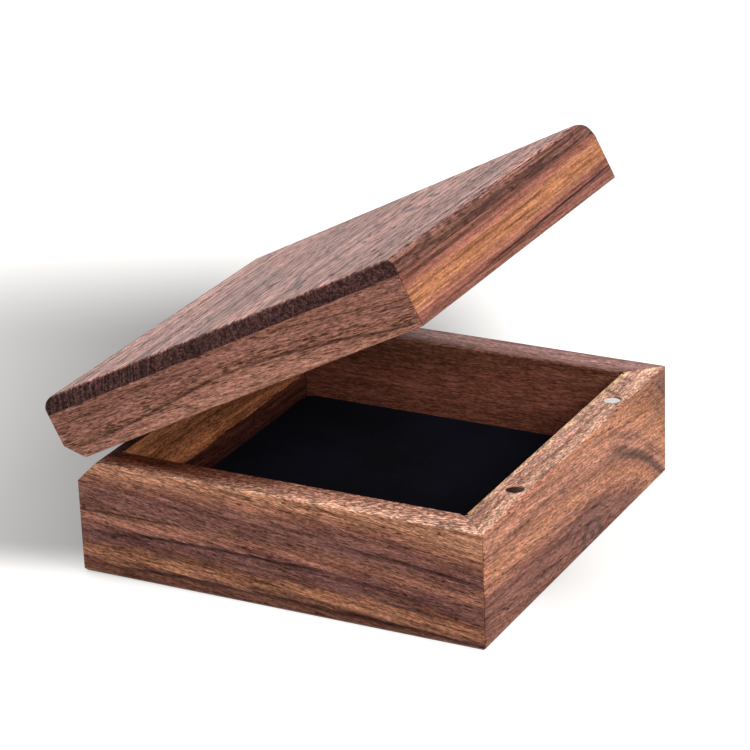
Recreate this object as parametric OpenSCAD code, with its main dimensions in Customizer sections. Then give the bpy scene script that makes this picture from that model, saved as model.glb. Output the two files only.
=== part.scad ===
// Small walnut display box: a mitred tray with a velvet pad, and a lid on two concealed barrel hinges.
// X runs along the hinge, +Y points to the hinge wall and +Z up. The origin is the middle of the underside.
// The lid is drawn as it stands in the photograph, part open.

/* [Box] */
// Outside width, along the hinge
box_w = 129.54; // [110:0.01:160]
// Outside depth, front to back
box_d = 129.54; // [110:0.01:160]
// Thickness of the tray's boards and the lid's rails
wall_t = 10.16; // [9.5:0.01:13]
// Height of the tray
base_h = 35.5; // [28:0.1:50]
// Height of the lid
lid_h = 20.2; // [18:0.1:30]
// Gap left between tray and lid when the lid is shut
mating_gap = 0.2; // [0.1:0.05:0.5]
// How far the lid stands open, in degrees
lid_open = 27.4; // [0:0.1:47.5]

/* [Floor and pad] */
// Thickness of the floor panel
floor_t = 5; // [3:0.1:7]
// How far the floor panel reaches into its rabbet under the boards
rabbet_w = 4; // [2:0.1:6]
// Thickness of the stiff board in the pad
pad_board_t = 2; // [1:0.1:3]
// Thickness of the foam and velvet at the edge of the pad
pad_t = 4.6; // [3:0.1:7]
// How much higher the pad's middle is than its edge
pad_crown = 0.4; // [0.2:0.1:1.5]
// Space between the pad and the boards round it
pad_clearance = 0.3; // [0.2:0.05:1]
// How far the velvet draws in where it wraps under the board
pad_tuck = 0.8; // [0.4:0.1:1.5]

/* [Lid] */
// Thickness of the lid's top panel
lid_panel_t = 5; // [4:0.1:8]
// Rounding of the top edge on the left
round_left = 1.2; // [0.5:0.1:9]
// Rounding of the top edge on the right
round_right = 9; // [0.5:0.1:10]
// Rounding of the top edge at the front
round_front = 2.5; // [0.5:0.1:9]
// Rounding of the top edge over the hinges
round_rear = 5; // [0.5:0.1:9]

/* [Edges] */
// Bevel along the tray's hinge edge
base_bevel = 6.7; // [5:0.1:8]
// Bevel along the lid's hinge edge
lid_bevel = 5.7; // [5:0.1:8]
// Small flat sanded along the other edges
edge_ease = 0.4; // [0.2:0.05:1]
// Flat sanded along the tray's lowest edges
foot_ease = 1; // [0.4:0.1:2]

/* [Magnets] */
// Diameter of a magnet
magnet_d = 5; // [3:0.1:6]
// Thickness of a magnet
magnet_t = 3; // [2:0.1:5]
// Radial space round a magnet in its hole
magnet_clearance = 0.2; // [0.05:0.05:0.4]
// How deep a magnet's face lies in its hole
magnet_sink = 0.3; // [0.1:0.1:1]
// Distance from the outer front face to the middle of a magnet
magnet_setback = 4.6; // [4.2:0.1:6]
// Distance between the two magnets of a pair
magnet_pitch = 68.6; // [40:0.1:90]

/* [Hinges] */
// Diameter of a hinge barrel
barrel_d = 8; // [7.4:0.1:8.4]
// Length of a hinge barrel
barrel_len = 11; // [8:0.1:12]
// Space under a barrel in its hole
barrel_seat = 0.5; // [0.2:0.1:1]
// Distance between the two hinges
barrel_pitch = 76; // [50:0.1:90]
// Diameter of a hinge pin
pin_d = 1; // [0.8:0.1:1.2]
// Distance of the pins behind the barrel's axis
pin_back = 2.7; // [2.4:0.05:2.75]
// Distance of each pin from the plane where tray and lid meet
pin_drop = 3.5; // [3:0.1:4.5]
// Length of a hinge pin
pin_len = 5.2; // [4:0.1:5.4]
// Thickness of the link between the pins
link_t = 2; // [1.4:0.1:2.4]
// Width of the link
link_w = 2.4; // [2.2:0.1:2.6]
// Running clearance between a pin and the link, on the radius
pin_clearance = 0.05; // [0.02:0.01:0.1]
// Space round the link in its slot
slot_clearance = 0.15; // [0.1:0.05:0.3]
// Depth of the step behind the pins that lets the barrels turn
barrel_relief = 0.6; // [0.5:0.05:1]

/* [Hidden] */
$fn = 64;

half_w = box_w / 2;
half_d = box_d / 2;
lid_z = base_h + mating_gap;
lid_top_z = lid_z + lid_h;
rail_h = lid_h - lid_panel_t;
meet_z = base_h + mating_gap / 2;
barrel_y = half_d - wall_t / 2;
pin_y = barrel_y + pin_back;
magnet_y = -half_d + magnet_setback;
pad_z = floor_t + pad_board_t;
// How far a cutting tool reaches past the wood that it cuts
over = 1;

walnut_tray = "#8a5a44";
walnut_front = "#a56f50";
walnut_top = "#8f7168";
walnut_rail = "#86503a";
walnut_inside = "#4a2a1c";
velvet_black = "#10121c";
board_grey = "#8c8478";
brass = "#c9a557";
nickel = "#d8d6d2";

// Cross-section left outside a rounded corner. The wood lies on the negative side of both axes.
module round_section(r) {
    difference() {
        translate([-r, -r]) square(r + over);
        translate([-r, -r]) circle(r);
    }
}

// Cross-section left outside a flat bevel of equal legs, placed the same way.
module bevel_section(leg) {
    polygon([[-leg - over, over], [over, over], [over, -leg - over]]);
}

// Puts a cross-section along X: its first axis becomes Y and its second Z.
module along_x(length) {
    rotate([90, 0, 90]) linear_extrude(length + 2 * over, center = true) children();
}

// Puts a cross-section along Y: its first axis stays X and its second becomes Z.
module along_y(length) {
    rotate([90, 0, 0]) linear_extrude(length + 2 * over, center = true) children();
}

// Repeats a cut on the other side of the box.
module both_sides() {
    children();
    mirror([1, 0, 0]) children();
}

// Eases the four upright corners between two heights.
module upright_corners(low, high) {
    for (sx = [0, 1], sy = [0, 1])
        mirror([sx, 0, 0]) mirror([0, sy, 0])
            translate([half_w, half_d, low - over])
                linear_extrude(high - low + 2 * over) bevel_section(edge_ease);
}

// Eases the edges of the hollow where it opens, at the height z. The wood is below for the tray, above for the lid.
module hollow_edges(z, above) {
    translate([0, 0, z]) mirror([0, 0, above ? 1 : 0]) {
        translate([0, -half_d + wall_t, 0]) along_x(box_w - 2 * wall_t) bevel_section(edge_ease);
        mirror([0, 1, 0])
            translate([0, -half_d + wall_t, 0]) along_x(box_w - 2 * wall_t) bevel_section(edge_ease);
        both_sides()
            translate([-half_w + wall_t, 0, 0]) along_y(box_d - 2 * wall_t) bevel_section(edge_ease);
    }
}

// All that is planed off the tray once its four boards are glued up.
module tray_edge_cuts() {
    translate([0, half_d, base_h]) along_x(box_w) bevel_section(base_bevel);
    mirror([0, 1, 0]) translate([0, half_d, base_h]) along_x(box_w) bevel_section(edge_ease);
    both_sides() translate([half_w, 0, base_h]) along_y(box_d) bevel_section(edge_ease);
    mirror([0, 0, 1]) {
        translate([0, half_d, 0]) along_x(box_w) bevel_section(foot_ease);
        mirror([0, 1, 0]) translate([0, half_d, 0]) along_x(box_w) bevel_section(foot_ease);
        both_sides() translate([half_w, 0, 0]) along_y(box_d) bevel_section(foot_ease);
    }
    hollow_edges(base_h, false);
    upright_corners(0, base_h);
}

// All that is planed off the lid, drawn with the lid shut.
module lid_edge_cuts() {
    translate([0, half_d, lid_top_z]) along_x(box_w) round_section(round_rear);
    mirror([0, 1, 0]) translate([0, half_d, lid_top_z]) along_x(box_w) round_section(round_front);
    translate([half_w, 0, lid_top_z]) along_y(box_d) round_section(round_right);
    mirror([1, 0, 0]) translate([half_w, 0, lid_top_z]) along_y(box_d) round_section(round_left);
    translate([0, 0, lid_z]) mirror([0, 0, 1]) {
        translate([0, half_d, 0]) along_x(box_w) bevel_section(lid_bevel);
        mirror([0, 1, 0]) translate([0, half_d, 0]) along_x(box_w) bevel_section(edge_ease);
        both_sides() translate([half_w, 0, 0]) along_y(box_d) bevel_section(edge_ease);
    }
    hollow_edges(lid_z, true);
    upright_corners(lid_z, lid_top_z);
}

// A board with mitred ends: length along X outside, its outer face on the X axis and its thickness towards +Y.
module mitred_board(length, height) {
    linear_extrude(height)
        polygon([
            [-length / 2, 0], [length / 2, 0],
            [length / 2 - wall_t, wall_t], [-length / 2 + wall_t, wall_t]
        ]);
}

// Sets a front board, or one turned to another side of the box. Sides: 0 front, 1 right, 2 hinge, 3 left.
module on_side(side) {
    reach = side % 2 == 0 ? half_d : half_w;
    rotate([0, 0, 90 * side]) translate([0, -reach, 0]) children();
}

module board_blank(side, height) {
    on_side(side) mitred_board(side % 2 == 0 ? box_w : box_d, height);
}

// The space that the floor panel takes up, also cut from the boards as their rabbet.
module floor_blank() {
    floor_w = box_w - 2 * (wall_t - rabbet_w);
    floor_d = box_d - 2 * (wall_t - rabbet_w);
    translate([-floor_w / 2, -floor_d / 2, 0]) cube([floor_w, floor_d, floor_t]);
}

module tray_board(side) {
    difference() {
        board_blank(side, base_h);
        floor_blank();
        tray_edge_cuts();
        if (side == 0) at_magnets() magnet_hole();
        if (side == 2) at_barrels() barrel_hole();
    }
}

module lid_rail(side) {
    difference() {
        translate([0, 0, lid_z]) board_blank(side, rail_h);
        lid_edge_cuts();
        if (side == 0) lid_side_up() at_magnets() magnet_hole();
        if (side == 2) lid_side_up() at_barrels() barrel_hole();
    }
}

// Turns what is drawn for the tray's upper face over, to the lid's lower face.
module lid_side_up() {
    translate([0, 0, 2 * meet_z]) mirror([0, 0, 1]) children();
}

module at_magnets() {
    for (s = [-1, 1]) translate([s * magnet_pitch / 2, magnet_y, base_h]) children();
}

module at_barrels() {
    for (s = [-1, 1]) translate([s * barrel_pitch / 2, barrel_y, base_h]) children();
}

module magnet_hole() {
    depth = magnet_sink + magnet_t;
    translate([0, 0, -depth]) cylinder(h = depth + over, d = magnet_d + 2 * magnet_clearance);
}

module magnet(s) {
    translate([s * magnet_pitch / 2, magnet_y, base_h - magnet_sink - magnet_t])
        cylinder(h = magnet_t, d = magnet_d);
}

module barrel_hole() {
    depth = barrel_len + barrel_seat;
    translate([0, 0, -depth]) cylinder(h = depth + over, d = barrel_d);
}

// One slotted barrel, drawn in the tray. The slot is open at the back, where the link swings out.
module barrel(s) {
    slot_front = pin_back - link_w / 2 - slot_clearance;
    slot_low = meet_z - pin_drop - link_w / 2 - slot_clearance;
    slot_w = link_t + 2 * slot_clearance;
    difference() {
        translate([s * barrel_pitch / 2, barrel_y, base_h - barrel_len])
            cylinder(h = barrel_len, d = barrel_d);
        translate([s * barrel_pitch / 2, barrel_y, 0]) {
            translate([-slot_w / 2, slot_front, slot_low]) cube([slot_w, barrel_d, barrel_len]);
            translate([-barrel_d, pin_back - pin_d / 2, base_h - barrel_relief])
                cube([2 * barrel_d, barrel_d, barrel_len]);
        }
        hinge_pin(s, pin_len);
    }
}

// A hinge pin in the tray's barrel, lying along X.
module hinge_pin(s, length) {
    translate([s * barrel_pitch / 2, pin_y, meet_z - pin_drop])
        rotate([0, 90, 0]) cylinder(h = length, d = pin_d, center = true);
}

// The link, standing upright between its two pins as it does when the lid is shut.
module link(s) {
    translate([s * barrel_pitch / 2, pin_y, meet_z]) rotate([0, 90, 0]) difference() {
        union() {
            translate([-pin_drop, -link_w / 2, -link_t / 2]) cube([2 * pin_drop, link_w, link_t]);
            for (end = [-1, 1])
                translate([end * pin_drop, 0, 0]) cylinder(h = link_t, d = link_w, center = true);
        }
        for (end = [-1, 1])
            translate([end * pin_drop, 0, 0])
                cylinder(h = link_t + 2 * over, d = pin_d + 2 * pin_clearance, center = true);
    }
}

// Opens what is drawn shut. The lid and the links turn together about the tray's pins,
// as in the photograph, and the pins at the links' other ends haven't turned yet.
module opened() {
    pin_z = meet_z - pin_drop;
    translate([0, pin_y, pin_z]) rotate([-lid_open, 0, 0]) translate([0, -pin_y, -pin_z]) children();
}

// The pad is rings of a rounded square, from the tucked underside up over the crown.
// Each ring is [how far it is drawn in from the pad's side, its height].
pad_sides = [
    [pad_tuck + 1, 0], [pad_tuck, 0], [pad_tuck / 3, pad_t * 0.2], [0, pad_t * 0.5],
    [pad_tuck / 4, pad_t * 0.8], [pad_tuck, pad_t * 0.95], [pad_tuck * 2, pad_t]
];
crown_steps = 5;
pad_half_w = half_w - wall_t - pad_clearance;
pad_half_d = half_d - wall_t - pad_clearance;
pad_half = min(pad_half_w, pad_half_d);
crown_run = pad_half - 2 * pad_tuck;
pad_crowned = [
    for (i = [1 : crown_steps])
        let (u = i / (crown_steps + 1))
            [2 * pad_tuck + crown_run * u, pad_t + pad_crown * (1 - (1 - u) * (1 - u))]
];
pad_rings = concat(pad_sides, pad_crowned);
corner_steps = 4;
pad_corner_r = 2.5;

// One ring's points, anticlockwise from the right-hand corner at the hinge side.
function ring_points(inset, z) =
    let (r = max(0.4, pad_corner_r - inset / 4))
    [
        for (quarter = [0 : 3], step = [0 : corner_steps])
            let (
                sx = quarter == 0 || quarter == 3 ? 1 : -1,
                sy = quarter < 2 ? 1 : -1,
                a = 90 * (quarter + step / corner_steps)
            )
                [
                    sx * (pad_half_w - inset - r) + r * cos(a),
                    sy * (pad_half_d - inset - r) + r * sin(a),
                    z
                ]
    ];

module pad_form() {
    count = 4 * (corner_steps + 1);
    rings = len(pad_rings);
    points = concat(
        [for (ring = pad_rings) each ring_points(ring[0], ring[1])],
        [[0, 0, 0], [0, 0, pad_t + pad_crown]]
    );
    bottom = rings * count;
    sides = [
        for (k = [0 : rings - 2], j = [0 : count - 1])
            let (n = (j + 1) % count, a = k * count, b = (k + 1) * count)
                each [[a + j, b + j, b + n], [a + j, b + n, a + n]]
    ];
    caps = [
        for (j = [0 : count - 1])
            let (n = (j + 1) % count, top = (rings - 1) * count)
                each [[bottom, j, n], [bottom + 1, top + n, top + j]]
    ];
    polyhedron(points, concat(sides, caps));
}

module front_board() { color(walnut_front) tray_board(0); }
module right_board() { color(walnut_inside) tray_board(1); }
module hinge_board() { color(walnut_tray) tray_board(2); }
module left_board() { color(walnut_tray) tray_board(3); }
module floor_panel() { color(walnut_tray) floor_blank(); }

module pad_board() {
    board_inset = wall_t + pad_clearance + pad_tuck;
    color(board_grey)
        translate([-half_w + board_inset, -half_d + board_inset, floor_t])
            cube([box_w - 2 * board_inset, box_d - 2 * board_inset, pad_board_t]);
}

module velvet_pad() { color(velvet_black) translate([0, 0, pad_z]) pad_form(); }

module tray_magnet(s) { color(nickel) magnet(s); }
module tray_barrel(s) { color(brass) barrel(s); }
module tray_hinge_pins() { color(brass) for (s = [-1, 1]) hinge_pin(s, pin_len); }
module hinge_link(s) { color(brass) opened() link(s); }

module lid_panel() {
    color(walnut_top) opened() difference() {
        translate([-half_w, -half_d, lid_z + rail_h]) cube([box_w, box_d, lid_panel_t]);
        lid_edge_cuts();
    }
}

module lid_front_rail() { color(walnut_front) opened() lid_rail(0); }
module lid_right_rail() { color(walnut_rail) opened() lid_rail(1); }
module lid_hinge_rail() { color(walnut_rail) opened() lid_rail(2); }
module lid_left_rail() { color(walnut_rail) opened() lid_rail(3); }
module lid_magnet(s) { color(nickel) opened() lid_side_up() magnet(s); }
module lid_barrel(s) { color(brass) opened() lid_side_up() barrel(s); }

module lid_hinge_pins() {
    color(brass) opened() lid_side_up() for (s = [-1, 1]) hinge_pin(s, pin_len);
}

front_board();
left_board();
right_board();
hinge_board();
floor_panel();
pad_board();
velvet_pad();
tray_magnet(-1);  // tray_magnet_left
tray_magnet(1);  // tray_magnet_right
tray_barrel(-1);  // tray_barrel_left
tray_barrel(1);  // tray_barrel_right
tray_hinge_pins();
hinge_link(-1);  // hinge_link_left
hinge_link(1);  // hinge_link_right
lid_panel();
lid_front_rail();
lid_left_rail();
lid_right_rail();
lid_hinge_rail();
lid_magnet(-1);  // lid_magnet_left
lid_magnet(1);  // lid_magnet_right
lid_barrel(-1);  // lid_barrel_left
lid_barrel(1);  // lid_barrel_right
lid_hinge_pins();
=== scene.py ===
# %% [markdown]
# # A walnut display box, part open
#
# The real object is a square box of solid walnut: a tray with mitred corners and a velvet pad, and a lid
# that turns on hinges hidden in the wall at the back. The CAD model already gives every board its true
# shape and place, so this lesson is mostly about wood: how one recipe for a tree can dress ten boards so
# that no two look alike. Only the pad's velvet is made here as a mesh.
#
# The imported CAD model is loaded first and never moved.

# %% Load the model
import functools
import math
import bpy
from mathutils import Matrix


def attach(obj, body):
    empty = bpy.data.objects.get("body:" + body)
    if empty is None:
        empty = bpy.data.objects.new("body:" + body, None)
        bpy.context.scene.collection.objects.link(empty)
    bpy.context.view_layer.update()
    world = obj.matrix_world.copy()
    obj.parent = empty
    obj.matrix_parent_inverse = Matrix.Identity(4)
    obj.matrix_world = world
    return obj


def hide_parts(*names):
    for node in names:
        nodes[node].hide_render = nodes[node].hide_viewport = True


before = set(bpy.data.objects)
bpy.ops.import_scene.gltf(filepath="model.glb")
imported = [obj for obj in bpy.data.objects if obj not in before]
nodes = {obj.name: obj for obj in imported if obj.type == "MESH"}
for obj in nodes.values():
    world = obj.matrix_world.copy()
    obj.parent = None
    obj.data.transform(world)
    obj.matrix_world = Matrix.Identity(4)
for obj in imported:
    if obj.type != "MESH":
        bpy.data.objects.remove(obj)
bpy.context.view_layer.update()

from types import SimpleNamespace

import bpy
import numpy as np
from mathutils import Matrix, Vector

MM = 0.001

# %% [markdown]
# ## Camera
#
# The picture was taken from the box's left front corner and a little above, with a long lens. The camera is
# described as a photographer would: the point that it looks at, how far off it stands, its turn round the
# box, its height above the horizon and its roll. Its three axes follow from those angles by cross products.

# %% Place the camera
VIEW_TARGET = Vector((46.9, 25.6, 25.0)) * MM
VIEW_DISTANCE = 988.7 * MM
VIEW_AZIMUTH = math.radians(-62.0)
VIEW_ELEVATION = math.radians(22.51)
VIEW_ROLL = math.radians(-2.2)
LENS_MM = 152.0

level = math.cos(VIEW_ELEVATION)
view_back = Vector((
    math.sin(VIEW_AZIMUTH) * level, -math.cos(VIEW_AZIMUTH) * level, math.sin(VIEW_ELEVATION)))
view_side = (-view_back).cross(Vector((0, 0, 1))).normalized()
view_up = view_side.cross(-view_back)
rolled_side = math.cos(VIEW_ROLL) * view_side + math.sin(VIEW_ROLL) * view_up
rolled_up = -math.sin(VIEW_ROLL) * view_side + math.cos(VIEW_ROLL) * view_up

camera_data = bpy.data.cameras.new("camera")
camera_data.lens = LENS_MM
camera_data.sensor_width = 36
camera_data.clip_start = 0.05
camera_data.clip_end = 20
camera = bpy.data.objects.new("camera", camera_data)
bpy.context.scene.collection.objects.link(camera)
camera.matrix_world = (
    Matrix.Translation(VIEW_TARGET + view_back * VIEW_DISTANCE)
    @ Matrix((rolled_side, rolled_up, view_back)).transposed().to_4x4()
)
bpy.context.scene.camera = camera
print("camera stands at, mm:", [round(v / MM) for v in camera.matrix_world.translation])

# %% [markdown]
# ## Helpers
#
# Colours are written as sRGB hex values, the way a paint chart gives them, and shaders work in linear light,
# so one function converts them. One other function adds every shader node. It could be one function for each
# kind of node, but then a reader would have to learn them all. A node's mode stands after a point, as in
# "Math.ADD", and a few modes that are used often have short names. Where a node is given as a value, its
# first output in use is linked.

# %% Helpers
MODES = {
    "Math": "operation",
    "VectorMath": "operation",
    "MapRange": "interpolation_type",
    "Mix": "blend_type",
    "VectorRotate": "rotation_type",
    "TexNoise": "noise_dimensions",
}
PLUS = "Math.ADD"
LESS = "Math.SUBTRACT"
TIMES = "Math.MULTIPLY"
SIZE = "Math.ABSOLUTE"
LARGER = "Math.MAXIMUM"
EASE = "MapRange.SMOOTHSTEP"
TINT = "Mix.MULTIPLY"
BLEND = "Mix.MIX"


def linear(hex_colour):
    """sRGB hex to linear RGBA: below 0.04045 a straight line, above it a power of 2.4."""
    channels = [int(hex_colour[i:i + 2], 16) / 255 for i in (1, 3, 5)]
    return [c / 12.92 if c <= 0.04045 else ((c + 0.055) / 1.055) ** 2.4 for c in channels] + [1.0]


def fill(node, inputs):
    """Gives inputs, by name or number, a plain value or a link from a socket or a node."""
    for name, value in inputs.items():
        if isinstance(value, bpy.types.Node):
            value = next(output for output in value.outputs if output.enabled)
        if isinstance(value, bpy.types.NodeSocket):
            node.id_data.links.new(value, node.inputs[name])
        else:
            node.inputs[name].default_value = value


def add(tree, kind, *values, named=None, stops=(), **settings):
    """Adds a node with its settings. The values fill the inputs in use in their order, named fills others by
    name, and stops are the positions and hex colours of a colour ramp. Colours are always mixed as RGBA."""
    kind, _, mode = kind.partition(".")
    node = tree.nodes.new("ShaderNode" + kind)
    if mode:
        settings[MODES[kind]] = mode
    if kind == "Mix":
        settings["data_type"] = "RGBA"
    for name, value in settings.items():
        setattr(node, name, value)
    in_use = [number for number, socket in enumerate(node.inputs) if socket.enabled]
    fill(node, dict(zip(in_use, values)))
    fill(node, named or {})
    if stops:
        elements = node.color_ramp.elements
        elements[0].position = stops[0][0]
        elements[-1].position = stops[-1][0]
        for position, colour in stops[1:-1]:
            elements.new(position)
        for element, (position, colour) in zip(elements, stops):
            element.color = linear(colour)
    return node


def new_material(name):
    """An empty node material with its output, and the Principled shader that feeds it."""
    material = bpy.data.materials.new(name)
    material.use_nodes = True
    tree = material.node_tree
    tree.nodes.clear()
    shader = add(tree, "BsdfPrincipled")
    add(tree, "OutputMaterial", shader)
    return material, tree, shader


print("mid walnut in linear light:", [round(c, 3) for c in linear("#7b5140")[:3]])

# %% [markdown]
# ## Where each board sat in its tree
#
# A board's figure is a slice through a tree, so the pattern is worked out in the tree's own coordinates:
# along the trunk, and two directions across it, in millimetres from the heart. Each board gets the spot
# that it was sawn from and a small slant. The lid is loaded part open, so its boards' coordinates are
# first turned shut about the hinge pins. All of that is one rotation and one shift, and one Mapping node
# holds it.

# %% Tree coordinates
PIN = Vector((0, 62.39, 32.1))
LID_OPEN = math.radians(27.4)
SHUT = Matrix.Translation(PIN) @ Matrix.Rotation(LID_OPEN, 4, "X") @ Matrix.Translation(-PIN)
MILLIMETRES = Matrix.Scale(1 / MM, 4)
ALONG = {
    "left": ((0, -1, 0), (0, 0, 1)),
    "front": ((1, 0, 0), (0, 0, 1)),
    "right": ((0, 1, 0), (0, 0, 1)),
    "hinge": ((-1, 0, 0), (0, 0, 1)),
    "flat": ((1, 0, 0), (0, 1, 0)),
}


def tree_matrix(wood):
    """Metres in the row frame to millimetres in the tree: shut the lid, centre the board, turn its length
    along the trunk, slant it in its face and lean it into its thickness, and move it out from the heart."""
    along, across = (Vector(v) for v in ALONG[wood.side])
    axes = Matrix((along, across, along.cross(across))).to_4x4()
    slant = Matrix.Rotation(math.radians(wood.slant), 4, "Z")
    lean = Matrix.Rotation(math.radians(wood.lean), 4, "Y")
    return (
        Matrix.Translation(Vector(wood.heart)) @ slant @ lean @ axes
        @ Matrix.Translation(-Vector(wood.centre))
        @ (SHUT if wood.on_lid else Matrix.Identity(4)) @ MILLIMETRES
    )


def mapped(tree, matrix):
    """Object coordinates sent through a matrix of uniform scale, by one Mapping node."""
    place, turn, scale = matrix.decompose()
    where = add(tree, "TexCoord").outputs["Object"]
    return add(tree, "Mapping", where, place, turn.to_euler("XYZ"), scale)


print("lid stands open, degrees:", round(math.degrees(LID_OPEN), 1))

# %% [markdown]
# ## Walnut
#
# Oiled black walnut, planed and sanded. Its growth rings show as bands of chocolate, red-brown and tan, a
# few millimetres wide. Fine dark lines and streaks of pigment run along them. Over all lie the open pores:
# dark dashes about 0.3 mm wide and 3 mm long on a face, and dots on an end. They are drawn up to 0.6 mm wide
# and 5 mm long on the lid, so that they show at its flat angle. The oil leaves a soft sheen.
#
# A board could carry a flat wood pattern on each face, but then the figure would break at every edge. Here
# the rings are a distance from the tree's heart, bent by a slow warp, so faces, ends and rims all agree. The
# pores are a noise stretched along the trunk, so one rule gives dashes on faces and dots on ends.
#
# These are the numbers that a board may change. Lengths are in millimetres, first along the trunk and then
# across it, and a share is how strongly a thing shows.

# %% Plain walnut
HALF = 64.77
WALL = 10.16
TRAY_TOP = 35.5
PLAIN_WALNUT = dict(
    slant=0.0, lean=0.0, run=0.0, on_lid=False, mitred=True,
    warp_mm=4.0, span=None, feather=0.08, knots=(), rim=None,
    streak=0.3, streak_mm=(30.0, 1.6), grit=0.24, grit_mm=(5.0, 0.55), fine=0.3, fine_mm=(1.4, 0.38),
    seam_mm=(48.0, 1.9), line_mm=1.5, line_share=0.45, lines=(),
    pore_mm=(2.8, 0.34), pore_level=0.60, pore_share=0.75,
    ends=None, edges=None, stain=None, roughness=0.40, gloss=0.13, bump=0.3,
)
print("numbers that a board may change:", len(PLAIN_WALNUT))

# %% [markdown]
# ## Starting a board
#
# Each board keeps its numbers in one place, together with the three positions that its patterns read: its
# spot in the tree, its place in the shut box, and its grain, which is the spot turned to run with the fibres.
# Three patterns are used again and again: strands, which are noise drawn out along the grain, rings, which
# are noise of the ring radius alone, and a colour made lighter or darker. A noise lies mostly between 0.3
# and 0.7, with its middle at 0.5, which is why most patterns below fade in over a short range about there.

# %% Start a board
def start_board(tree, look):
    """The board's numbers with its positions. The grain is the spot turned about the heart, first to undo
    the lean and then by the angle at which the fibres run."""
    wood = SimpleNamespace(**{**PLAIN_WALNUT, **look})
    wood.node = functools.partial(add, tree)
    wood.spot = mapped(tree, tree_matrix(wood))
    place = mapped(tree, (SHUT if wood.on_lid else Matrix.Identity(4)) @ MILLIMETRES)
    wood.xyz = wood.node("SeparateXYZ", place).outputs
    wood.reach = wood.node("SeparateXYZ", wood.spot).outputs["X"]
    upright = wood.node("VectorRotate.Y_AXIS", wood.spot, wood.heart, math.radians(-wood.lean))
    wood.grain = wood.node("VectorRotate.Z_AXIS", upright, wood.heart, math.radians(-wood.run))
    return wood


def strands(wood, along, across, detail=2.0, rough=0.5, where=None):
    """Noise with the position divided by a strand's length along the grain and by its width across it."""
    position = wood.grain if where is None else where
    stretched = wood.node("VectorMath.MULTIPLY", position, (1 / along, 1 / across, 1 / across))
    return wood.node("TexNoise", stretched, 1.0, detail, rough)


def rings(wood, width, detail):
    """Noise of the ring radius over a width, so that whatever it draws follows the growth rings."""
    return wood.node("TexNoise.1D", wood.node("Math.DIVIDE", wood.radius, width), 1.0, detail, 0.5)


def shaded(wood, colour, factor):
    """A colour times a factor that is the same for red, green and blue."""
    return wood.node(TINT, 1.0, colour, wood.node("CombineColor", factor, factor, factor))


print("positions that a board's patterns read: spot, place and grain")

# %% [markdown]
# ## Rings and bands
#
# The ring radius is the distance from the tree's heart after a slow warp. A knot pushes the rings aside: it
# adds a hill or a hollow that fades like a bell curve. The bands of colour are then a colour ramp from the
# radius at the board's low edge to the radius at its high edge, with borders that the streaks roughen.

# %% Rings and bands
def ring_radius(wood):
    """Length of the warped position without its part along the trunk, plus, for each knot,
    lift * e^(-away^2), where away is the distance from the knot in units of its half sizes."""
    node = wood.node
    bend = strands(wood, 95, 30, where=wood.spot).outputs["Color"]
    bend = node("VectorMath.SUBTRACT", bend, (0.5, 0.5, 0.5))
    bend = node("VectorMath.MULTIPLY", bend, (0, 2 * wood.warp_mm, 2 * wood.warp_mm))
    trunk = node("VectorMath.ADD", wood.spot, bend)
    radius = node("VectorMath.LENGTH", node("VectorMath.MULTIPLY", trunk, (0, 1, 1)))
    for along, across, wide, tall, lift in wood.knots:
        offset = node("VectorMath.SUBTRACT", wood.spot, (wood.heart[0] + along, wood.heart[1] + across, 0))
        away = node("VectorMath.LENGTH", node("VectorMath.MULTIPLY", offset, (1 / wide, 1 / tall, 0)))
        near = node("Math.POWER", 2.718, node(TIMES, node(TIMES, away, away), -1.0))
        radius = node(PLUS, radius, node(TIMES, near, lift))
    return radius


def bands(wood):
    """The share of the way from the low edge's radius to the high edge's, with a rough border added."""
    node = wood.node
    wood.streaks = strands(wood, *wood.streak_mm, 3.0, 0.6)
    wood.rough_edge = node(LESS, node(PLUS, wood.streaks, strands(wood, 9, 1.0)), 1.0)
    span = wood.span
    if span is None:
        span = [math.hypot(wood.heart[1] + edge, wood.heart[2] + 5) for edge in (-wood.half, wood.half)]
    wood.band = node("MapRange", wood.radius, *span)
    level = node(PLUS, wood.band, node(TIMES, wood.rough_edge, wood.feather * 2))
    return node("ValToRGB", level, stops=wood.stops)


print("share of a knot's height left at its half size:", round(math.exp(-1), 2))

# %% [markdown]
# ## Rims
#
# The tray's top rims are sawn across the rings, so they look paler and more broken than the faces. Their
# colours run from the outer edge to the inner one, with short chips of light and dark. The left rim also
# carries a painted shadow of the lid, which darkens it towards the hinges and towards its inner edge.

# %% Rims
def rim_colour(wood, colour):
    """Colour by the distance in from the box's side over the wall's thickness, on the topmost 0.2 mm."""
    node = wood.node
    rim = wood.rim
    inset = node(LESS, HALF, node(SIZE, wood.xyz["X" if wood.side in ("left", "right") else "Y"]))
    wander = node(TIMES, node(LESS, strands(wood, 40, 9, where=wood.spot), 0.5), rim["wander"])
    drift = node(PLUS, wander, node(TIMES, wood.rough_edge, 1.2))
    across = node("Math.DIVIDE", node(PLUS, inset, drift), WALL)
    painted = node("ValToRGB", across, stops=rim["stops"])
    slanting = node("VectorRotate.Y_AXIS", wood.spot, wood.heart, math.radians(rim["turn"]))
    chips = strands(wood, *rim["chip_mm"], 2.0, 0.6, where=slanting)
    painted = shaded(wood, painted, node(EASE, chips, 0.42, 0.58, 1 - rim["chips"], 1 + rim["chips"]))
    # Painted shadow of the lid: the left rim darkens towards the hinges and towards its inner edge.
    if "painted_lid_shadow" in rim:
        rearward = node(EASE, wood.reach, wood.heart[0] + 46, wood.heart[0] - 42)
        shade = node(TIMES, rearward, node(EASE, inset, 0, 6, 0.6, 1.0))
        painted = node(TINT, shade, painted, linear(rim["painted_lid_shadow"]))
    on_rim = node(EASE, wood.xyz["Z"], TRAY_TOP - 0.25, TRAY_TOP - 0.1)
    return node(BLEND, on_rim, colour, painted)


print("rim colours run over the wall, mm:", WALL)

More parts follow.
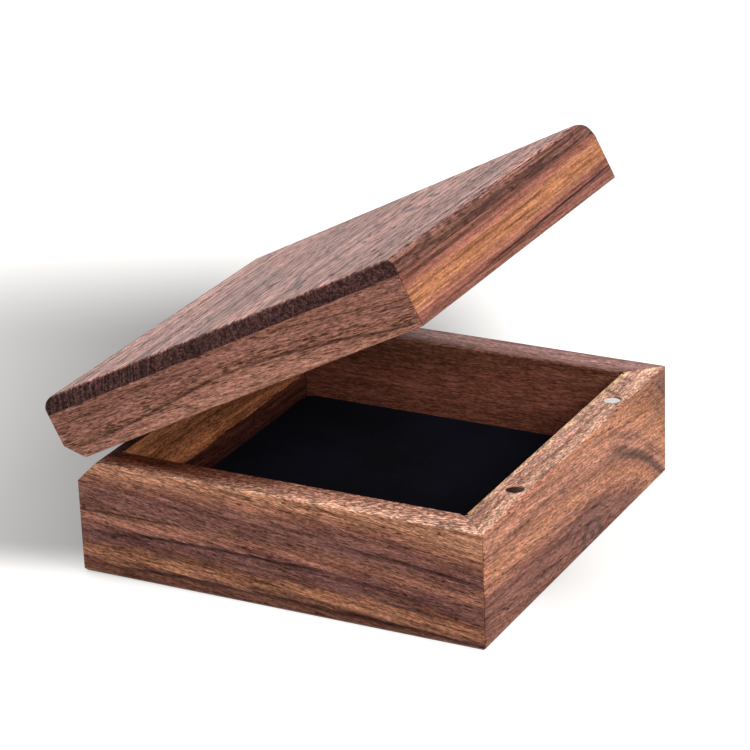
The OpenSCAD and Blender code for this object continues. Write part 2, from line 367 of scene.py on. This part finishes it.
# %% [markdown]
# ## Streaks, lines and pores
#
# Streaks of pigment, the coarser fibre and the fine grain each make the colour a little lighter or darker.
# Dark seams show where a long noise crosses its middle value, and ring lines where a noise of the radius is
# high. A few lines that stand out on the real board are drawn one by one, each with its level in the bands,
# its width, where it starts and stops, and its share. Pores crowd together in some rings.

# %% Streaks, lines and pores
def figure(wood, colour):
    """The colour times a factor about 1 for each of the streaks, the fibre and the fine grain."""
    node = wood.node
    wood.fibre = strands(wood, *wood.grit_mm, 3.0, 0.7)
    fine = strands(wood, *wood.fine_mm, 1.0)
    streaked = node("MapRange", wood.streaks, 0.32, 0.68, 1 - wood.streak, 1 + wood.streak)
    colour = shaded(wood, colour, streaked)
    colour = shaded(wood, colour, node(EASE, wood.fibre, 0.42, 0.58, 1 - wood.grit, 1 + wood.grit))
    return shaded(wood, colour, node(EASE, fine, 0.38, 0.62, 1 - wood.fine, 1 + wood.fine))


def dark_lines(wood, colour):
    """Seams and ring lines, whichever is darker, in patches. Then each single line, where the band's distance
    from the line's level is under its width, faded in and out over 18 mm at its two ends."""
    node = wood.node
    crossing = node(SIZE, node(LESS, strands(wood, *wood.seam_mm, 1.0), 0.5))
    seams = node(TIMES, node(EASE, crossing, 0.008, 0.03, 1.0, 0.0), 0.7)
    seams = node(LARGER, seams, node(EASE, rings(wood, wood.line_mm, 1.0), 0.54, 0.68))
    seams = node(TIMES, seams, node(EASE, strands(wood, 34, 5), 0.38, 0.58))
    colour = node(TINT, node(TIMES, seams, wood.line_share), colour, linear("#54382f"))
    for level, width, start, stop, share in wood.lines:
        start += wood.heart[0]
        stop += wood.heart[0]
        off_line = node(PLUS, node(LESS, wood.band, level), node(TIMES, wood.rough_edge, width * 1.2))
        drawn = node(EASE, node(SIZE, off_line), width * 0.3, width, share, 0.0)
        drawn = node(TIMES, drawn, node(EASE, wood.reach, start - 9, start + 9))
        drawn = node(TIMES, drawn, node(EASE, wood.reach, stop + 9, stop - 9))
        colour = node(TINT, drawn, colour, linear("#4e342c"))
    return colour


def pored(wood, colour):
    """Pores where a fine stretched noise, helped by a noise of the rings, is over a level."""
    node = wood.node
    crowd = node(TIMES, node(LESS, rings(wood, 6.0, 1.0), 0.5), 0.16)
    depth = node(PLUS, strands(wood, *wood.pore_mm, 1.0, 0.4), crowd)
    wood.pores = node(EASE, depth, wood.pore_level, wood.pore_level + 0.07)
    return node(TINT, node(TIMES, wood.pores, wood.pore_share), colour, linear("#4a3028"))


print("pores on a plain board, mm:", PLAIN_WALNUT["pore_mm"])

# %% [markdown]
# ## Where a board differs
#
# The lid's panel shows its end grain at the left and right, where oil soaks in and darkens it, and its growth
# rings stand out in the rear third. The hinge board's inner face has painted light in its upper part, where
# the front lamp reaches over the front wall, and the front wall's painted shadow below. At the tray's and
# rails' corners the two boards meet in a mitre, which shows as a fine line.

# %% Ends, painted light and shadow, and mitres
def end_grain(wood, colour, plain):
    """Darker within about a millimetre of the panel's ends and edges, where the figure blends a little into
    the plain bands. Rings show on the ends from 6 mm behind the middle, in full from 24 mm."""
    node = wood.node
    ends, edges = [
        node(LARGER, node(EASE, wood.xyz[axis], low - HALF, 0.2 - HALF),
             node(EASE, wood.xyz[axis], HALF - high, HALF - 0.6))
        for axis, low, high in (("X", 0.7, 4.0), ("Y", 1.2, 2.5))
    ]
    colour = node(BLEND, node(TIMES, node(LARGER, ends, edges), 0.28), colour, plain)
    colour = node(TINT, ends, colour, linear(wood.ends))
    colour = node(TINT, edges, colour, linear(wood.edges))
    rearward = node(TIMES, node(EASE, wood.xyz["Y"], 6, 24), ends)
    colour = shaded(wood, colour, node(EASE, rearward, 0.0, 1.0, 1.0, 1.35))
    arcs = node(TIMES, node(EASE, rings(wood, 0.95, 0.0), 0.38, 0.58), rearward)
    return node(TINT, node(TIMES, arcs, 0.7), colour, linear("#6a5a5c"))


def with_painted_light_and_shadow(wood, colour):
    """Painted light above a level on the inner face, the front wall's painted shadow below, a tint elsewhere.
    """
    node = wood.node
    # above is the painted light over the front wall, below is the front wall's painted shadow
    level, above, below, outside = wood.stain
    ragged = node(PLUS, wood.xyz["Z"], node(EASE, wood.fibre, 0.3, 0.7, -0.4, 0.4))
    tones = node(BLEND, node(EASE, ragged, level - 0.2, level + 0.2), linear(below), linear(above))
    inner = node(EASE, wood.xyz["Y"], HALF - WALL + 0.5, HALF - WALL + 0.2)
    return node(TINT, 1.0, colour, node(BLEND, inner, linear(outside), tones))


def mitre_line(wood, colour):
    """A dark line where |x| equals |y|, as on a square's two diagonals."""
    node = wood.node
    off_mitre = node(SIZE, node(LESS, node(SIZE, wood.xyz["X"]), node(SIZE, wood.xyz["Y"])))
    return node(TINT, node(EASE, off_mitre, 0.08, 0.28, 0.5, 0.0), colour, linear("#5a3c30"))


print("a mitre is this long across the rim, mm:", round(WALL * math.sqrt(2), 1))

# %% [markdown]
# ## Oiled and rubbed, with painted corner highlights
#
# Hands rub the corners paler and round, and the eased corners catch the light. The Bevel node gives the
# shading of a corner with a radius of half a millimetre, and where that turns away from the true face, the
# colour is lifted: partly paler wear and partly a painted highlight. Pores sink and look dull, fibres stand
# proud, and oil lies glossier on the dense streaks. Walnut's oil film has an IOR near 1.5, and its gloss is
# kept low, because a wiped oil finish is thin and broken.

# %% The walnut recipe
RUBBED_MM = 0.5
RELIEF_MM = 0.12


def finished(wood, shader, colour):
    """Fills the shader: corners paler by wear and by a painted highlight, a relief of pores, fibre and
    streaks, and uneven oil.
    """
    node = wood.node
    corner = node("Bevel", RUBBED_MM * MM, samples=4)
    face = node("NewGeometry").outputs["True Normal"]
    # Corners lifted paler: partly wear, partly a painted highlight where the eased corners catch the light.
    rubbed_and_highlit = node(EASE, node("VectorMath.DOT_PRODUCT", corner, face), 0.80, 0.99, 0.25, 0.0)
    height = node(PLUS, node(TIMES, wood.pores, -1.0), node(TIMES, wood.fibre, 1.2))
    height = node(PLUS, height, node(TIMES, wood.streaks, 2.5))
    dull = node(EASE, wood.fibre, 0.34, 0.66, wood.roughness, wood.roughness + 0.16)
    shine = node(PLUS, wood.streaks, wood.fibre)
    shader.inputs["Specular IOR Level"].default_value = wood.gloss
    fill(shader, {
        # The corners' wear and painted highlight lift the colour towards pale tan.
        "Base Color": node("Mix.SOFT_LIGHT", rubbed_and_highlit, colour, linear("#e0b89a")),
        "Roughness": node(PLUS, node(TIMES, wood.pores, 0.3), dull),
        "Normal": node("Bump", named={
            "Height": height, "Strength": wood.bump, "Distance": RELIEF_MM * MM, "Normal": corner}),
        "IOR": 1.5,
        "Specular IOR Level": node(EASE, shine, 0.85, 1.15, wood.gloss * 0.35, wood.gloss * 1.6),
    })


def walnut(name, look):
    """One board's walnut, step by step."""
    material, tree, shader = new_material(name)
    wood = start_board(tree, look)
    wood.radius = ring_radius(wood)
    plain = bands(wood)
    if wood.rim:
        plain = rim_colour(wood, plain)
    colour = pored(wood, dark_lines(wood, figure(wood, plain)))
    if wood.ends:
        colour = end_grain(wood, colour, plain)
    if wood.stain:
        colour = with_painted_light_and_shadow(wood, colour)
    if wood.mitred:
        colour = mitre_line(wood, colour)
    finished(wood, shader, colour)
    return material


print("rubbed corners and relief, mm:", RUBBED_MM, RELIEF_MM)

# %% [markdown]
# ## The boards
#
# Each board has its own place in the tree and its own run of colours from its low edge to its high edge, in
# the order in which the real one shows them: reddish brown with a tan streak near the foot on the tray's
# left, golden and swirled round a small knot at the front, dark chocolate inside. The grain of the lid's
# panel runs from side to side, so its left edge shows end grain, with growth rings in the rear third. The
# hinge board's inner face carries painted light above and a painted shadow below. The rims' colours come
# first, from the outer edge inwards.

# %% Rim colours
# The left rim's last colour is the lid's painted shadow, which darkens it towards the hinges and the inner
# edge.
LEFT_RIM = dict(wander=2.0, painted_lid_shadow="#86614d", chips=0.55, chip_mm=(1.5, 0.55), turn=-25,
                stops=[(0.0, "#e1b59e"), (0.3, "#d7a895"), (0.7, "#ca9a87"), (1.0, "#bd8a77")])
FRONT_RIM = dict(wander=5.0, chips=0.3, chip_mm=(2.4, 0.5), turn=4,
                 stops=[(0.0, "#b78072"), (0.08, "#e4b6a1"), (0.38, "#d8ac96"), (0.48, "#a27462"),
                        (0.56, "#dcad9a"), (0.75, "#ce9d8c"), (0.85, "#e9c0a7"), (1.0, "#ebbd95")])
RIGHT_RIM = dict(wander=2.0, chips=0.15, chip_mm=(3.0, 0.5), turn=0,
                 stops=[(0.0, "#5d423f"), (0.15, "#87635f"), (0.5, "#906d68"), (0.8, "#835d59"),
                        (1.0, "#6c4a45")])
print("rims with colours of their own: left, front, right and hinge")

# %% The boards' looks
TRAY_MID = TRAY_TOP / 2
RAIL_MID = 43.3
RAIL_HALF = 7.6
BOARD_LOOKS = {
    "left_board": dict(
        side="left", centre=(-HALF + WALL / 2, 0, TRAY_MID), heart=(300, 110, 20), half=TRAY_MID,
        slant=0.3, lean=1.0, run=-8.0, warp_mm=2.5, rim=LEFT_RIM, knots=((70, 20, 30, 30, 6),),
        lines=((0.105, 0.02, -50, 66, 0.7), (0.41, 0.022, -48, 14, 0.8), (0.57, 0.014, -66, -30, 0.7),
               (0.66, 0.03, 18, 66, 0.6)),
        stops=[(0.0, "#754c3c"), (0.08, "#6a4233"), (0.13, "#734c3d"), (0.18, "#ab775b"), (0.23, "#a06c51"),
               (0.28, "#6e483e"), (0.36, "#744d49"), (0.43, "#7c5249"), (0.50, "#9f6b59"), (0.57, "#865c4e"),
               (0.63, "#7a5149"), (0.78, "#7f554b"), (0.87, "#966450"), (0.97, "#b78468")]),
    "front_board": dict(
        side="front", centre=(0, -HALF + WALL / 2, TRAY_MID), heart=(900, 90, 24), half=35, slant=3.0,
        lean=2.0, run=-4.0, warp_mm=2.5, feather=0.05, rim=FRONT_RIM, pore_level=0.64, streak=0.24,
        line_mm=2.4, line_share=0.5, knots=((95, 0, 42, 70, 40), (9.4, -12.6, 8.5, 6.8, -24)),
        lines=((0.622, 0.034, 24, 68, 0.75), (0.70, 0.012, 10, 68, 0.3)),
        stops=[(0.0, "#7c5449"), (0.10, "#5c3c33"), (0.15, "#865749"), (0.24, "#7b4f41"), (0.30, "#845649"),
               (0.40, "#7e5045"), (0.45, "#aa735b"), (0.52, "#ba8164"), (0.575, "#97634e"), (0.63, "#b78069"),
               (0.70, "#b07861"), (0.75, "#ba8061"), (0.83, "#aa7151"), (0.90, "#905f45"), (0.95, "#9b674d"),
               (1.0, "#7b5041")]),
    "right_board": dict(
        side="right", centre=(HALF - WALL / 2, 0, TRAY_MID), heart=(1500, 90, 30), half=TRAY_MID,
        slant=1.0, lean=-2.0, rim=RIGHT_RIM, pore_share=0.45, streak=0.16, line_share=0.3,
        stops=[(0.0, "#874f3f"), (0.3, "#77493b"), (0.55, "#8a5545"), (0.8, "#7d4f3e"), (1.0, "#8c5f4e")]),
    "hinge_board": dict(
        side="hinge", centre=(0, HALF - WALL / 2, TRAY_MID), heart=(2100, 80, 34), half=TRAY_MID,
        # Inner face: painted light above 18.4 mm and the front wall's painted shadow below it.
        slant=-2.0, lean=1.0, rim=RIGHT_RIM, streak=0.4, stain=(18.4, "#ffe8c0", "#84706c", "#b39c90"),
        stops=[(0.0, "#7b504b"), (0.3, "#8f6156"), (0.5, "#c89077"), (0.62, "#a27160"), (0.8, "#d29b81"),
               (1.0, "#a27565")]),
    "floor_panel": dict(
        side="flat", centre=(0, 0, 2.5), heart=(2700, 30, 46), half=60, mitred=False, feather=0.2,
        stops=[(0.0, "#5f4032"), (0.3, "#74503e"), (0.5, "#4f3429"), (0.7, "#7c5643"), (1.0, "#664634")]),
    "lid_panel": dict(
        side="flat", centre=(0, 0, 53.4), heart=(3300, 30, 25), half=HALF, span=(8, 100), lean=13.0,
        on_lid=True, mitred=False, warp_mm=3.0, feather=0.04, fine=0.34, grit=0.46, grit_mm=(20.0, 0.5),
        streak=0.72, streak_mm=(140.0, 1.35), seam_mm=(90.0, 2.2), line_mm=1.6, line_share=0.95,
        pore_mm=(5.0, 0.6), pore_level=0.57, pore_share=0.9, roughness=0.28, gloss=0.095, bump=1.0,
        ends="#9b9299", edges="#f1ebe2",
        stops=[(0.0, "#77514b"), (0.15, "#875f57"), (0.3, "#7a534c"), (0.42, "#876058"), (0.5, "#69463d"),
               (0.55, "#835b54"), (0.7, "#79524a"), (0.85, "#875e56"), (1.0, "#6f4c43")]),
    "lid_front_rail": dict(
        side="front", centre=(0, -HALF + WALL / 2, RAIL_MID), heart=(3900, 100, 16), half=RAIL_HALF,
        slant=-1.0, run=-1.0, on_lid=True, warp_mm=0.8, feather=0.11, pore_level=0.66, fine=0.2,
        streak=0.36, streak_mm=(70.0, 1.1), grit=0.18, grit_mm=(9.0, 0.5),
        lines=((0.19, 0.03, -18, 68, 0.95), (0.17, 0.02, -66, -16, 0.5), (0.93, 0.03, -66, -20, 0.4)),
        stops=[(0.0, "#88584f"), (0.12, "#7c4f44"), (0.22, "#895549"), (0.30, "#915c4d"), (0.40, "#9d694f"),
               (0.5, "#b07854"), (0.62, "#a76e4f"), (0.72, "#aa7454"), (0.80, "#945e4f"), (0.9, "#855346"),
               (1.0, "#794d41")]),
    "lid_left_rail": dict(
        side="left", centre=(-HALF + WALL / 2, 0, RAIL_MID), heart=(4500, 90, 24), half=RAIL_HALF,
        lean=2.0, run=-4.0, on_lid=True, warp_mm=1.5, pore_level=0.585, streak=0.16,
        knots=((0, 0, 30, 60, -3.0), (66, 0, 24, 60, 3.5)),
        lines=((0.29, 0.035, -58, 62, 0.65), (0.75, 0.02, 20, 66, 0.5)),
        stops=[(0.0, "#a87867"), (0.2, "#a07060"), (0.29, "#8f6252"), (0.36, "#966757"), (0.6, "#94665a"),
               (0.8, "#885c4e"), (1.0, "#93665a")]),
    "lid_right_rail": dict(
        side="right", centre=(HALF - WALL / 2, 0, RAIL_MID), heart=(5100, 90, 30), half=RAIL_HALF,
        slant=-3.0, lean=2.0, on_lid=True,
        stops=[(0.0, "#6e4839"), (0.3, "#7d5341"), (0.5, "#54362b"), (0.7, "#805545"), (1.0, "#6d4738")]),
    "lid_hinge_rail": dict(
        side="hinge", centre=(0, HALF - WALL / 2, RAIL_MID), heart=(5700, 90, 26), half=RAIL_HALF,
        slant=1.0, lean=-1.0, on_lid=True,
        stops=[(0.0, "#633f30"), (0.35, "#7b5340"), (0.6, "#5a382b"), (1.0, "#80563f")]),
}
print("boards with looks of their own:", len(BOARD_LOOKS))

# %% Dress the boards
def dress(node_name, material):
    """Puts one material in every slot of a CAD node."""
    mesh = nodes[node_name].data
    if not mesh.materials:
        mesh.materials.append(material)
    for index in range(len(mesh.materials)):
        mesh.materials[index] = material


for node_name, look in BOARD_LOOKS.items():
    dress(node_name, walnut("oiled_walnut_" + node_name, look))
print("boards dressed:", len(BOARD_LOOKS))

# %% [markdown]
# ## The velvet pad
#
# The pad is a stiff board with a few millimetres of foam, wrapped in short-pile velvet. Its top is almost
# flat, its edges are soft, and its sides draw in where the cloth turns under the board. A cloth simulation
# would add nothing to a glued pad, so its surface is a formula: rings of a rounded square that climb the
# side and close over the crown. Tension leaves faint dips, and at each corner the cloth has a small fold.

# %% The pad's sizes
PAD_HALF = 54.3
PAD_LOW = 7.0
PAD_EDGE = 4.6
PAD_CROWN = 0.4
PAD_TUCK = 0.8
PAD_ROUND = 1.5
PAD_CORNER = 3.0
DIP_DEPTH = 0.08
TUCKED_SHARE = 0.45
ROUND_FROM = 0.62
SIDE_SHARE = 0.93
FOLD_DEPTH = 0.0016
FOLD_WIDTH = 0.020
RING_POINTS = 256
SIDE_RINGS = 22
TOP_RINGS = 60
print("pad rings:", SIDE_RINGS + TOP_RINGS, "of", RING_POINTS, "points")


# %% Shape the pad
def rounded_square(half, corner, angle):
    """Points of a square with round corners, at equal steps of angle about its middle. Along each direction
    the outline is where |x| and |y| raised to a power, added and raised back, reach the half side. The
    smaller the corner is beside the half side, the higher the power and the sharper the corner."""
    x, y = np.cos(angle), np.sin(angle)
    power = 2.0 + 2.2 * half / np.maximum(corner, 0.05)
    reach = half / (np.abs(x) ** power + np.abs(y) ** power) ** (1 / power)
    return reach * x, reach * y


def pad_side(angle):
    """Rings up the side: drawn in by the tuck where the cloth turns under, rounded by a quarter circle at the
    top, and pinched by a narrow bell curve at each corner's fold."""
    climb = np.linspace(0, 1, SIDE_RINGS)[:, None]
    roundness = np.clip((climb - ROUND_FROM) / (1 - ROUND_FROM), 0, 1)
    inset = PAD_TUCK * np.clip(1 - climb / TUCKED_SHARE, 0, 1) ** 1.6
    inset = inset + PAD_ROUND * (1 - np.sqrt(np.clip(1 - roundness ** 2, 0, 1)))
    x, y = rounded_square(PAD_HALF - inset, PAD_CORNER, angle)
    fold = np.exp(-((np.mod(angle, np.pi / 2) - np.pi / 4) / FOLD_WIDTH) ** 2)
    crease = 1 - FOLD_DEPTH * fold * np.sin(np.pi * climb)
    height = PAD_EDGE * (SIDE_SHARE * climb + (1 - SIDE_SHARE) * roundness)
    z = np.broadcast_to(height, x.shape)
    return x * crease, y * crease, z


def pad_top(angle):
    """Rings that close over the top: height = edge + crown * (1 - share^2)^0.8, where share is the ring's
    size beside the outermost, plus the dips of stretched cloth, which are slow sine waves."""
    share = np.linspace(1, 0, TOP_RINGS + 2)[1:-1, None]
    x, y = rounded_square((PAD_HALF - PAD_ROUND) * share, PAD_CORNER * share + 0.3, angle)
    dips = 0.05 * np.sin(x / 9.0 + 1.3) * np.sin(y / 11.0 + 0.4) + 0.03 * np.sin(x / 4.1 - y / 6.3)
    inward = np.clip((1 - share) / 0.12, 0, 1)
    return x, y, PAD_EDGE + PAD_CROWN * (1 - share ** 2) ** 0.8 + (dips - DIP_DEPTH) * inward


def pad_surface():
    """The side's rings and then the top's, as one array of points, raised to where the pad lies."""
    angle = np.linspace(0, 2 * np.pi, RING_POINTS, endpoint=False)[None, :] + np.pi / RING_POINTS
    x, y, z = [np.concatenate(both) for both in zip(pad_side(angle), pad_top(angle))]
    return np.stack([x, y, z + PAD_LOW], axis=-1)


print("pad points, rings by points:", pad_surface().shape[:2])


# %% Close the rings into a mesh
def closed_rings(name, rings_of_points, low_point, high_point):
    """A closed mesh from rings of points, each joined to the next by quads, with a fan at each end."""
    count, around = rings_of_points.shape[:2]
    points = np.concatenate([rings_of_points.reshape(-1, 3), [low_point, high_point]]) * MM
    here = np.arange(around)
    there = (here + 1) % around
    base = np.arange(count - 1)[:, None] * around
    quads = np.stack([base + here, base + there, base + around + there, base + around + here], axis=-1)
    low_fan = np.stack([np.full(around, count * around), there, here], axis=-1)
    last = (count - 1) * around
    high_fan = np.stack([np.full(around, count * around + 1), last + here, last + there], axis=-1)
    mesh = bpy.data.meshes.new(name)
    faces = quads.reshape(-1, 4).tolist() + low_fan.tolist() + high_fan.tolist()
    mesh.from_pydata(points.tolist(), [], faces)
    mesh.polygons.foreach_set("use_smooth", np.ones(len(mesh.polygons), bool))
    mesh.update()
    piece = bpy.data.objects.new(name, mesh)
    bpy.context.scene.collection.objects.link(piece)
    return piece


pad_peak = PAD_LOW + PAD_EDGE + PAD_CROWN - DIP_DEPTH
velvet = closed_rings("velvet_pad_cover", pad_surface(), (0, 0, PAD_LOW), (0, 0, pad_peak))
print("pad, mm:", [round(v / MM, 2) for v in velvet.dimensions])

# %% [markdown]
# ## Velvet
#
# Short cotton velvet dyed blue-black. Pile swallows light that meets it square on and throws back a faint
# cool sheen at a glance, so the base is nearly black and the sheen is broad. The pile leans a little one
# way or another, which shows as soft patches, and single tufts give it grain. A tuft is about 0.3 mm, and it
# is drawn twice as coarse, so that it shows.

# %% Velvet
velvet_material, tree, shader = new_material("blue_black_velvet")
spot = mapped(tree, MILLIMETRES)
tufts = add(tree, "TexNoise", spot, 1 / 0.6, 2.0, 0.7)
patches = add(tree, "TexNoise", spot, 1 / 26, 2.0)
tone = add(tree, "MapRange", add(tree, PLUS, tufts, patches), 0.82, 1.2)
fill(shader, {
    "Base Color": add(tree, "ValToRGB", tone, stops=[(0.0, "#010204"), (1.0, "#090b17")]),
    "Normal": add(tree, "Bump", named={"Height": tufts, "Strength": 0.5, "Distance": 0.15 * MM}),
    "Roughness": 0.95,
    "Specular IOR Level": 0.06,
    "Sheen Weight": 0.025,
    "Sheen Roughness": 0.45,
    "Sheen Tint": linear("#848aa8"),
})
velvet.data.materials.append(velvet_material)
dress("velvet_pad", velvet_material)
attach(velvet, "base")
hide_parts("velvet_pad")
print("velvet covers a pad of triangles:", 2 * RING_POINTS * (SIDE_RINGS + TOP_RINGS))

# %% [markdown]
# ## Board, nickel and brass
#
# Under the velvet is grey pressed board, flecked with paper fibre. The magnets are sintered discs with a
# bright nickel plate, which mirrors but is slightly pitted, as the core is. The hinges are brass bar, turned
# and milled, with a little tarnish and fine tool marks round the barrels. None of these needs more than one
# or two noises. Both metals keep the default IOR, because their colour says how they mirror.

# %% Pressed board
board_material, tree, shader = new_material("grey_pressed_board")
spot = mapped(tree, MILLIMETRES)
flecks = add(tree, "TexNoise", spot, 1 / 0.8, 4.0, 0.7)
fill(shader, {
    "Base Color": add(tree, "ValToRGB", flecks, stops=[(0.3, "#6e675c"), (0.7, "#a39b8d")]),
    "Roughness": 0.9,
})
dress("pad_board", board_material)
print("pressed board: flecks of 0.8 mm")

# %% Nickel plate
nickel_material, tree, shader = new_material("bright_nickel_plate")
spot = mapped(tree, MILLIMETRES)
pits = add(tree, "TexNoise", spot, 1 / 0.35, 3.0, 0.6)
fill(shader, {
    "Base Color": add(tree, "ValToRGB", pits, stops=[(0.35, "#c9c3bb"), (0.6, "#e4e0d9")]),
    "Metallic": 1.0,
    "Roughness": add(tree, "MapRange", pits, 0, 1, 0.06, 0.16),
    "Normal": add(tree, "Bump", named={"Height": pits, "Strength": 0.08, "Distance": 0.03 * MM}),
})
for node_name in ("tray_magnet_left", "tray_magnet_right", "lid_magnet_left", "lid_magnet_right"):
    dress(node_name, nickel_material)
print("nickel plate: pits of 0.35 mm")

# %% Brass
brass_material, tree, shader = new_material("turned_brass")
spot = mapped(tree, MILLIMETRES)
tool_marks = add(tree, "TexNoise", add(tree, "VectorMath.MULTIPLY", spot, (0.4, 0.4, 9.0)), 1.0, 2.0)
tarnish = add(tree, "TexNoise", spot, 1 / 2.5, 3.0)
fill(shader, {
    "Base Color": add(tree, "ValToRGB", tarnish, stops=[(0.3, "#a9823c"), (0.65, "#d9b566")]),
    "Metallic": 1.0,
    "Roughness": add(tree, "MapRange", tool_marks, 0, 1, 0.22, 0.45),
})
for node_name in nodes:
    if "barrel" in node_name or "hinge_link" in node_name or "hinge_pins" in node_name:
        dress(node_name, brass_material)
print("materials:", len(bpy.data.materials))

# %% [markdown]
# ## Floor
#
# A white studio sweep. The camera sees it as white by its own light, with only a share of real light, so
# that it stays white and still takes the box's soft shadow. A pale grey pool of painted shadow lies behind
# the box, at a fixed place on the floor, in place of a lamp's shadow, because a tint is steadier and costs
# nothing.
# On each side the pool has two distances from the box's middle, in millimetres: where it is gone and where it
# is full.

# %% Floor
FLOOR_HALF = 6000
floor_mesh = bpy.data.meshes.new("floor")
floor_corners = [(-1, -1, 0), (1, -1, 0), (1, 1, 0), (-1, 1, 0)]
floor_mesh.from_pydata([Vector(c) * FLOOR_HALF * MM for c in floor_corners], [], [(0, 1, 2, 3)])
floor = bpy.data.objects.new("floor", floor_mesh)
bpy.context.scene.collection.objects.link(floor)
print("floor, mm across:", 2 * FLOOR_HALF)

# %% The painted shadow behind the box
floor_material = bpy.data.materials.new("white_sweep")
floor_material.use_nodes = True
tree = floor_material.node_tree
tree.nodes.clear()
DEEPER = Vector((-view_back.x, -view_back.y, 0)).normalized()
ACROSS = Vector((view_side.x, view_side.y, 0)).normalized()
POOL_NEAR = (-62, -25)
POOL_FAR = (280, 130)
POOL_RIGHT = (75, 0)
POOL_LEFT = (-210, -60)
POOL_LEFT_SHARE = 0.35
spot = mapped(tree, MILLIMETRES)
depth = add(tree, "VectorMath.DOT_PRODUCT", spot, DEEPER + 0.2 * ACROSS)
across = add(tree, "VectorMath.DOT_PRODUCT", spot, ACROSS)
# Painted shadow: a grey patch on the floor behind the box, fading out on every side.
painted_shadow = add(tree, TIMES, add(tree, EASE, depth, *POOL_FAR), add(tree, EASE, depth, *POOL_NEAR))
painted_shadow = add(tree, TIMES, painted_shadow, add(tree, EASE, across, *POOL_RIGHT))
painted_shadow = add(tree, TIMES, painted_shadow, add(tree, "MapRange", across, *POOL_LEFT, POOL_LEFT_SHARE))
white_to_grey = add(tree, BLEND, painted_shadow, (1, 1, 1, 1), linear("#808080"))
print("pool lies behind the box, towards:", [round(v, 2) for v in DEEPER])

# %% The floor's own light
own_light = add(tree, "Emission", white_to_grey, 0.8)
lit_share = add(tree, "BsdfDiffuse", add(tree, BLEND, 0.70, white_to_grey, (0, 0, 0, 1)))
seen = add(tree, "AddShader", own_light, lit_share)
unseen = add(tree, "BsdfDiffuse", (0.45, 0.45, 0.45, 1))
rays = add(tree, "LightPath").outputs
looked_at = add(tree, LARGER, rays["Is Camera Ray"], rays["Is Glossy Ray"])
add(tree, "OutputMaterial", add(tree, "MixShader", looked_at, unseen, seen))
floor_mesh.materials.append(floor_material)
print("floor nodes:", len(tree.nodes))

# %% [markdown]
# ## Light
#
# A big soft lamp overhead and behind, a low one in front that looks into the tray, a small one at the left,
# and a dim world. Rays that look at the world, mirror it or pass through glass see white, and it lights the
# box more gently than that.

# %% World
DIM_WORLD = 0.16
world = bpy.data.worlds.new("studio")
bpy.context.scene.world = world
world.use_nodes = True
tree = world.node_tree
tree.nodes.clear()
rays = add(tree, "LightPath").outputs
looked_at = add(tree, LARGER, rays["Is Camera Ray"], rays["Is Glossy Ray"])
looked_at = add(tree, LARGER, looked_at, rays["Is Transmission Ray"])
strength = add(tree, "MapRange", looked_at, 0, 1, DIM_WORLD, 1.0)
add(tree, "OutputWorld", add(tree, "Background", (1, 1, 1, 1), strength))
print("world lights the box at", DIM_WORLD)


# %% Lamps
def lamp(name, place, aim, size, power, colour):
    """A square area lamp, in metres and watts, turned to face its aim."""
    data = bpy.data.lights.new(name, "AREA")
    data.size = size
    data.energy = power
    data.color = linear(colour)[:3]
    made = bpy.data.objects.new(name, data)
    made.matrix_world = (
        Matrix.Translation(Vector(place))
        @ (Vector(aim) - Vector(place)).to_track_quat("-Z", "Y").to_matrix().to_4x4()
    )
    bpy.context.scene.collection.objects.link(made)


lamp("top_softbox", (0.1, 0.6, 1.1), (0, 0, 0.03), 0.8, 23, "#fffaf5")
lamp("front_softbox", (-0.12, -0.86, 0.84), (0, 0, 0.03), 0.5, 10, "#fff4ea")
lamp("left_softbox", (-0.90, -0.64, 0.60), (0, 0, 0.04), 0.45, 6.0, "#fff8f0")
bpy.context.scene.view_settings.view_transform = "Standard"
print("lamps:", len(bpy.data.lights))
